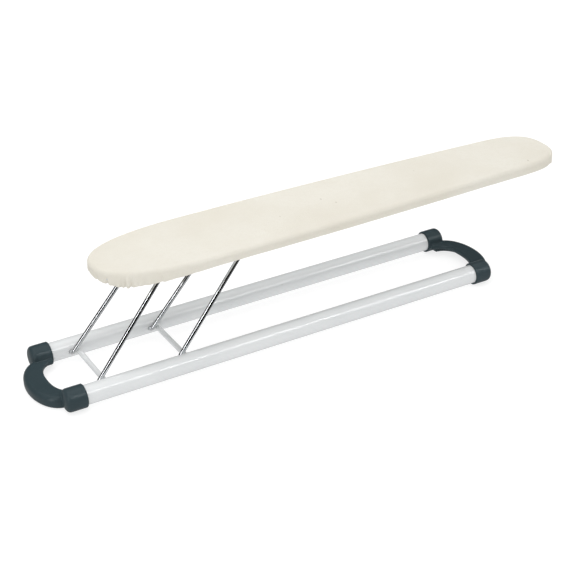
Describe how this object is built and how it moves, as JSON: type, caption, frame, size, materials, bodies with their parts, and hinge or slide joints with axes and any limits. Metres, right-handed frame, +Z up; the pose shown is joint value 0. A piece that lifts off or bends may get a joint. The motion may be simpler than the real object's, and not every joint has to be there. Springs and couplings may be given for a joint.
{
  "type": "sleeve ironing board",
  "caption": "Folding table-top ironing board for sleeves: a narrow padded board on wire legs that swing down onto a tubular base with a carrying grip at each end.",
  "frame": {"origin": "middle of the whole object's footprint, on the surface that the base stands on", "axes": "+X along the board towards its free end, +Y across towards the rear tube, +Z up"},
  "size_m": [0.6912, 0.1276, 0.1353],
  "materials": {
    "white_paint": "smooth satin-gloss white powder coat on steel tube",
    "deck_paint": "satin white powder coat on pressed sheet steel",
    "grip_plastic": "slate-grey moulded plastic with a soft sheen",
    "chrome_wire": "bright chrome-plated spring wire",
    "zinc_steel": "zinc-plated steel",
    "pad_felt": "needled felt underlay",
    "cover_cotton": "unbleached plain-weave cotton"
  },
  "bodies": {
    "base": {"front_tube": "white_paint", "rear_tube": "white_paint", "near_grip": "grip_plastic", "far_grip": "grip_plastic", "near_front_screw": "zinc_steel", "near_rear_screw": "zinc_steel", "far_front_screw": "zinc_steel", "far_rear_screw": "zinc_steel", "near_stay": "white_paint", "far_stay": "white_paint"},
    "near_leg": {"near_leg": "chrome_wire"},
    "far_leg": {"far_leg": "chrome_wire"},
    "board": {"deck": "deck_paint", "near_leg_front_clip": "zinc_steel", "near_leg_rear_clip": "zinc_steel", "far_leg_front_clip": "zinc_steel", "far_leg_rear_clip": "zinc_steel", "near_leg_front_rivet_ahead": "zinc_steel", "near_leg_front_rivet_behind": "zinc_steel", "near_leg_rear_rivet_ahead": "zinc_steel", "near_leg_rear_rivet_behind": "zinc_steel", "far_leg_front_rivet_ahead": "zinc_steel", "far_leg_front_rivet_behind": "zinc_steel", "far_leg_rear_rivet_ahead": "zinc_steel", "far_leg_rear_rivet_behind": "zinc_steel", "pad": "pad_felt", "cover": "cover_cotton"}
  },
  "joints": [
    {"name": "near_leg_fold", "type": "hinge", "parent": "base", "child": "near_leg", "pos_m": [-0.27657, 0, 0.0133], "axis": [0, -1, 0], "range_deg": [0, 120]},
    {"name": "board_level", "type": "hinge", "parent": "near_leg", "child": "board", "pos_m": [-0.18143, 0, 0.12668], "axis": [0, -1, 0], "range_deg": [-120, 0]},
    {"name": "far_leg_fold", "type": "hinge", "parent": "base", "child": "far_leg", "pos_m": [-0.18007, 0, 0.0133], "axis": [0, -1, 0], "range_deg": [0, 120]}
  ],
  "couplings": [
    {"joint": "board_level", "follows": "near_leg_fold", "ratio": -1},
    {"joint": "far_leg_fold", "follows": "near_leg_fold", "ratio": 1}
  ]
}
